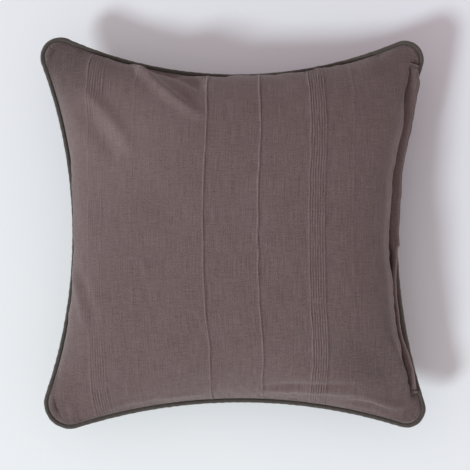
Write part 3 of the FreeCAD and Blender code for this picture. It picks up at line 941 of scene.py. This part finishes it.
# ---------------- materials
class Shader:
    """A Principled material, with short ways to add nodes."""

    def __init__(self, name, roughness, specular, metallic=0.0):
        self.material = bpy.data.materials.new(name)
        self.material.use_nodes = True
        self.tree = self.material.node_tree
        self.principled = self.tree.nodes["Principled BSDF"]
        self.fill(self.principled, Roughness=roughness, Metallic=metallic,
                  Specular_IOR_Level=specular)

    def fill(self, node, **values):
        """Sets a node's sockets by name."""
        for name, value in values.items():
            node.inputs[name.replace("_", " ")].default_value = value

    def sheen(self, weight, roughness, tint=(1, 1, 1)):
        self.fill(self.principled, Sheen_Weight=weight, Sheen_Roughness=roughness,
                  Sheen_Tint=(*tint, 1))

    def node(self, kind, **settings):
        made = self.tree.nodes.new("ShaderNode" + kind)
        for name, value in settings.items():
            setattr(made, name, value)
        return made

    def link(self, source, target):
        self.tree.links.new(source, target)

    def flat_cloth(self, scale=(1.0, 1.0), turn=0.0):
        """Flat cloth coordinates in millimetres, scaled and turned."""
        uv = self.node("UVMap", uv_map="cloth")
        place = self.node("Mapping")
        self.fill(place, Rotation=(0, 0, math.radians(turn)),
                  Scale=(UV_SPAN * scale[0], UV_SPAN * scale[1], 1))
        self.link(uv.outputs["UV"], place.inputs["Vector"])
        return place.outputs["Vector"]

    def solid_place(self, scale=1.0):
        """Object coordinates in millimetres, scaled by one number or three."""
        at = self.node("TexCoord")
        place = self.node("Mapping")
        self.fill(place, Scale=np.broadcast_to(scale, 3) / MM)
        self.link(at.outputs["Object"], place.inputs["Vector"])
        return place.outputs["Vector"]

    def noise(self, vector, scale=1.0, detail=3.0, roughness=0.55, distortion=0.0):
        made = self.node("TexNoise")
        self.fill(made, Scale=scale, Detail=detail, Roughness=roughness, Distortion=distortion)
        self.link(vector, made.inputs["Vector"])
        return made.outputs["Fac"]

    def calc(self, operation, first, second=None, third=None, clamp=False):
        made = self.node("Math", operation=operation, use_clamp=clamp)
        for slot, value in enumerate((first, second, third)):
            if isinstance(value, (int, float)):
                made.inputs[slot].default_value = value
            elif value is not None:
                self.link(value, made.inputs[slot])
        return made.outputs[0]

    def about(self, factor, amount):
        """amount times the factor's distance from one half."""
        return self.calc("MULTIPLY", self.calc("SUBTRACT", factor, 0.5), amount)

    def total(self, *terms):
        found = terms[0]
        for term in terms[1:]:
            found = self.calc("ADD", found, term)
        return found

    def split(self, vector):
        made = self.node("SeparateXYZ")
        self.link(vector, made.inputs[0])
        return made.outputs

    def crossed(self, x, y, pitch):
        """Over-and-under height of even crossed threads, 0 to 1."""
        rate = math.pi / pitch
        over = self.calc("MULTIPLY", self.calc("SINE", self.calc("MULTIPLY", x, rate)),
                         self.calc("SINE", self.calc("MULTIPLY", y, rate)))
        return self.calc("MULTIPLY_ADD", over, 0.5, 0.5)

    def plain_weave(self, vector, pitch):
        """Over-and-under height of a plain weave, 0 to 1, with uneven threads."""
        wobble = self.noise(vector, 0.35, 2.0)
        x, y, _ = self.split(vector)
        return self.crossed(self.calc("ADD", x, self.about(wobble, 0.9)),
                            self.calc("ADD", y, self.about(wobble, -0.8)), pitch)

    def colour(self, base, *terms):
        """The base colour times the sum of the terms; returns the base's own socket."""
        made = self.node("VectorMath", operation="SCALE")
        made.inputs[0].default_value = base
        self.link(self.total(*terms), made.inputs["Scale"])
        self.link(made.outputs[0], self.principled.inputs["Base Color"])
        return made.inputs[0]

    def mixed_colour(self, first, second, factor, *terms):
        """Two colours mixed by factor, times the sum of the terms."""
        mix = self.node("Mix", data_type="RGBA")
        mix.inputs[6].default_value = (*first, 1)
        mix.inputs[7].default_value = (*second, 1)
        self.link(factor, mix.inputs[0])
        self.link(mix.outputs[2], self.colour(first, *terms))

    def bump(self, *layers):
        """Bumps from (height socket, depth in millimetres) layers."""
        normal = None
        for height, depth in layers:
            made = self.node("Bump")
            made.inputs["Distance"].default_value = depth * MM
            self.link(height, made.inputs["Height"])
            if normal is not None:
                self.link(normal, made.inputs["Normal"])
            normal = made.outputs["Normal"]
        self.link(normal, self.principled.inputs["Normal"])


def slub_cotton(name, base, warm, turn=0.0, pitch=0.62):
    """Matt plain-weave cotton with slubs along both threads, and the painted light and shade stored
    on its points.
    """
    s = Shader(name, 0.88, 0.18)
    s.sheen(0.42, 0.35, (1.0, 0.93, 0.92))
    place = s.flat_cloth(turn=turn)
    weave = s.plain_weave(place, pitch)
    warp = s.noise(s.flat_cloth((1.15, 0.035), turn), 1.0, 4.0, 0.7)
    weft = s.noise(s.flat_cloth((0.045, 1.05), turn), 1.0, 4.0, 0.7)
    thick_warp = s.noise(s.flat_cloth((0.42, 0.018), turn), 1.0, 2.0, 0.6)
    slub = s.calc("POWER", s.noise(s.flat_cloth((0.10, 0.8), turn), 1.0, 3.0, 0.6), 5.0)
    mottle = s.noise(place, 0.02, 3.0, 0.6)
    patch = s.noise(place, 0.13, 3.0, 0.6)
    nub = s.noise(s.flat_cloth((0.95, 0.55), turn), 1.0, 3.0, 0.75)
    # The painted light and shade stored on the points, added to the brightness.
    tone = s.node("Attribute", attribute_name="painted_light_and_tone")
    s.mixed_colour(base, warm, mottle, s.about(warp, 1.25), s.about(weft, 0.75),
                   s.about(thick_warp, 0.22), s.about(mottle, 0.20), s.about(patch, 0.22),
                   s.about(weave, 0.25), s.about(nub, 1.5), s.calc("MULTIPLY", slub, 0.9),
                   tone.outputs["Fac"], 0.985)
    threads = s.total(s.about(warp, 1.2), s.about(weft, 1.0), s.about(nub, 1.3),
                      s.calc("MULTIPLY", slub, 2.0))
    s.bump((weave, 0.12), (threads, 0.5))
    return s.material


def plain_cloth(name, base, pitch):
    """Fine plain cloth on a flat cloth map."""
    s = Shader(name, 0.8, 0.2)
    s.sheen(0.2, 0.5)
    place = s.flat_cloth()
    weave = s.plain_weave(place, pitch)
    mottle = s.noise(place, 0.03)
    streak = s.noise(s.flat_cloth((0.8, 0.05)))
    s.colour(base, s.about(weave, 0.1), s.about(mottle, 0.1), s.about(streak, 0.12), 1.0)
    s.bump((weave, 0.08), (streak, 0.1))
    return s.material


def fibre(name, base):
    """Carded fibre: fine tangled strands."""
    s = Shader(name, 0.95, 0.1)
    s.sheen(0.5, 0.6)
    strands = s.noise(s.solid_place((0.9, 0.12, 0.9)), 1.0, 5.0, 0.7, 2.5)
    tufts = s.noise(s.solid_place(), 0.06, 4.0, 0.6)
    s.colour(base, s.about(strands, 0.25), s.about(tufts, 0.2), 1.0)
    s.bump((strands, 0.5), (tufts, 2.0))
    return s.material


def thread(name, base):
    """Spun thread with a slight lustre and fine twist."""
    s = Shader(name, 0.55, 0.35)
    s.sheen(0.3, 0.4)
    twist = s.noise(s.solid_place(2.2), 1.0, 2.0)
    fuzz = s.noise(s.solid_place(0.35))
    s.colour(base, s.about(twist, 0.35), s.about(fuzz, 0.15), 1.0)
    s.bump((twist, 0.12))
    return s.material


def braid(name, base, pitch, depth=0.1):
    """Close woven tape or braided cord, mapped in space."""
    s = Shader(name, 0.75, 0.25)
    s.sheen(0.2, 0.5)
    x, y, z = s.split(s.solid_place())
    weave = s.crossed(s.calc("ADD", x, z), s.calc("SUBTRACT", y, z), pitch)
    rub = s.noise(s.solid_place(), 0.12)
    s.colour(base, s.about(weave, 0.3), s.about(rub, 0.15), 1.0)
    s.bump((weave, depth))
    return s.material


def moulded(name, base):
    """Satin moulded plastic."""
    s = Shader(name, 0.42, 0.5)
    grain = s.noise(s.solid_place(3), 1.0, 2.0)
    rub = s.noise(s.solid_place(0.2))
    s.colour(base, s.about(grain, 0.1), s.about(rub, 0.25), 1.0)
    s.link(s.calc("MULTIPLY_ADD", rub, 0.25, 0.3), s.principled.inputs["Roughness"])
    s.bump((grain, 0.02))
    return s.material


def painted_metal(name, base):
    """Painted zinc, rubbed a little brighter in places."""
    s = Shader(name, 0.38, 0.5, metallic=0.55)
    rub = s.noise(s.solid_place(0.6), 1.0, 4.0, 0.65)
    scratch = s.noise(s.solid_place((0.3, 6.0, 6.0)))
    s.mixed_colour(base, tuple(4 * c for c in base), s.calc("POWER", rub, 6.0),
                   s.about(scratch, 0.2), 1.0)
    s.link(s.calc("MULTIPLY_ADD", scratch, 0.3, 0.22), s.principled.inputs["Roughness"])
    s.bump((scratch, 0.015))
    return s.material


def satin_label(name, base):
    """Woven satin label."""
    s = Shader(name, 0.45, 0.4)
    line = s.noise(s.solid_place((0.1, 4.0, 4.0)), 1.0, 2.0)
    s.colour(base, s.about(line, 0.12), 1.0)
    s.bump((line, 0.04))
    return s.material


def wear(node, material):
    """Gives a CAD node its material."""
    piece = frame["nodes"][node]
    piece.data.materials.clear()
    piece.data.materials.append(material)


# ---------------- stage, light and camera
def floor():
    """A plain pale floor with a very slight unevenness of tone, and painted shade that darkens and
    warms it towards the upper right, away from the lamps.
    """
    s = Shader("pale_floor", 0.75, 0.2)
    at = s.node("TexCoord")
    tone = s.noise(at.outputs["Object"], 1.3, 3.0, 0.5)
    x, y, _ = s.split(at.outputs["Object"])
    # Painted shade: darker and warmer towards the upper right.
    far = s.calc("ADD", x, s.calc("MULTIPLY", y, 1.25))
    far = s.calc("MULTIPLY_ADD", far, 1.15, 0.38, clamp=True)
    s.mixed_colour((0.862, 0.872, 0.882), (0.765, 0.735, 0.78), far, s.about(tone, 0.03), 1.0)
    reach = 9000.0
    lines = np.linspace(-reach, reach, 13)
    wide, deep = np.meshgrid(lines, lines, indexing="ij")
    places = np.dstack([wide, deep, np.full_like(wide, -0.3)])
    plane = make_object("floor", places, grid_faces(13, 13), None, s.material)


def sun(name, power, colour, angle, travel):
    """A sun lamp whose light goes the way of travel."""
    data = bpy.data.lights.new(name, "SUN")
    data.energy = power
    data.color = colour
    data.angle = math.radians(angle)
    lamp = in_scene(name, data)
    lamp.rotation_mode = "QUATERNION"
    lamp.rotation_quaternion = Vector(travel).to_track_quat("-Z", "Y")


def lights():
    """A cool key from the lower left, a very wide fill from the left, and a warm surround."""
    sun("key", 1.93, (0.82, 0.98, 1.0), 12, (55, 45, -66))
    sun("fill", 0.62, (1.0, 0.93, 0.95), 110, (0.8, 0.15, -0.6))
    world = bpy.data.worlds.new("surround")
    bpy.context.scene.world = world
    world.use_nodes = True
    sky = world.node_tree.nodes["Background"]
    sky.inputs["Color"].default_value = (1.0, 0.93, 0.95, 1)
    sky.inputs["Strength"].default_value = 0.52


def camera():
    """Straight above, a little off the middle, 1.5 m over the floor."""
    data = bpy.data.cameras.new("camera")
    data.lens = 95.5
    data.sensor_width = 36
    made = in_scene("camera", data)
    made.location = (2.35 * MM, -2.2 * MM, 1.5)
    bpy.context.scene.camera = made


# ---------------- the pillow
def main():
    cover = slub_cotton("cover_cloth", (0.161, 0.108, 0.103), (0.149, 0.104, 0.104))
    bias = slub_cotton("piping_cloth", (0.086, 0.073, 0.063), (0.079, 0.067, 0.059),
                       turn=45, pitch=0.5)
    pad_cloth = plain_cloth("pad_cloth", (0.80, 0.79, 0.77), 0.5)
    fill = fibre("pad_fibre", (0.88, 0.88, 0.87))
    stitch = thread("sewing_thread", (0.10, 0.078, 0.074))
    pad_thread = thread("pad_thread", (0.80, 0.79, 0.77))

    front_form = panel_form(True)
    back_form = panel_form(False)
    front = cover_panel("front_cover", front_form, FRONT_FOLDS, 101, True, cover)
    back = cover_panel("back_cover", back_form, BACK_FOLDS, 151, False, cover)
    edge = piping(bias)
    casing_front = pad_casing("pad_front_cloth", back_form, 1, pad_cloth)
    casing_back = pad_casing("pad_back_cloth", back_form, -1, pad_cloth)
    filling = pad_filling(back_form, fill)
    overlock = pad_stitching(back_form, pad_thread)
    tacks = bar_tacks(stitch)
    topstitch = flap_topstitch(stitch)
    flap = zip_flap(cover)

    rows = (
        (front, "cover_cloth", "front_panel"),
        (back, "cover_cloth", "back_panel"),
        (edge, "piping_cloth", "piping_cover"),
        (casing_front, "pad_cloth", "pad_casing_front"),
        (casing_back, "pad_cloth", "pad_casing_back"),
        (filling, "pad_fibre", "pad_filling"),
        (overlock, "pad_thread", "pad_seam_stitching"),
        (tacks, "sewing_thread", "flap_bar_tacks"),
        (topstitch, "sewing_thread"),
        (flap, "cover_cloth", "zip_flap"),
    )
    for piece, slot, *nodes in rows:
        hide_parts(*nodes)
        if piece not in (flap, topstitch):
            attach(piece, "cushion")

    wear("piping_cord", braid("cord_cotton", (0.72, 0.68, 0.60), 0.9, 0.2))
    for node in ("seam_stitching", "overlock_edging", "flap_stitching"):
        wear(node, stitch)
    wear("care_label", satin_label("label_cloth", (0.80, 0.79, 0.76)))
    tape = braid("zip_tape", (0.075, 0.060, 0.058), 0.45)
    teeth = moulded("zip_teeth", (0.07, 0.055, 0.053))
    metal = painted_metal("zip_metal", (0.10, 0.085, 0.08))
    for side in ("outer", "inner"):
        wear("zip_tape_" + side, tape)
        wear("zip_teeth_" + side, teeth)
    for part in ("top_stop", "bottom_stop", "slider", "pull_tab"):
        wear("zip_" + part, metal)

    floor()
    lights()
    camera()
    bpy.context.scene.view_settings.view_transform = "Standard"


main()
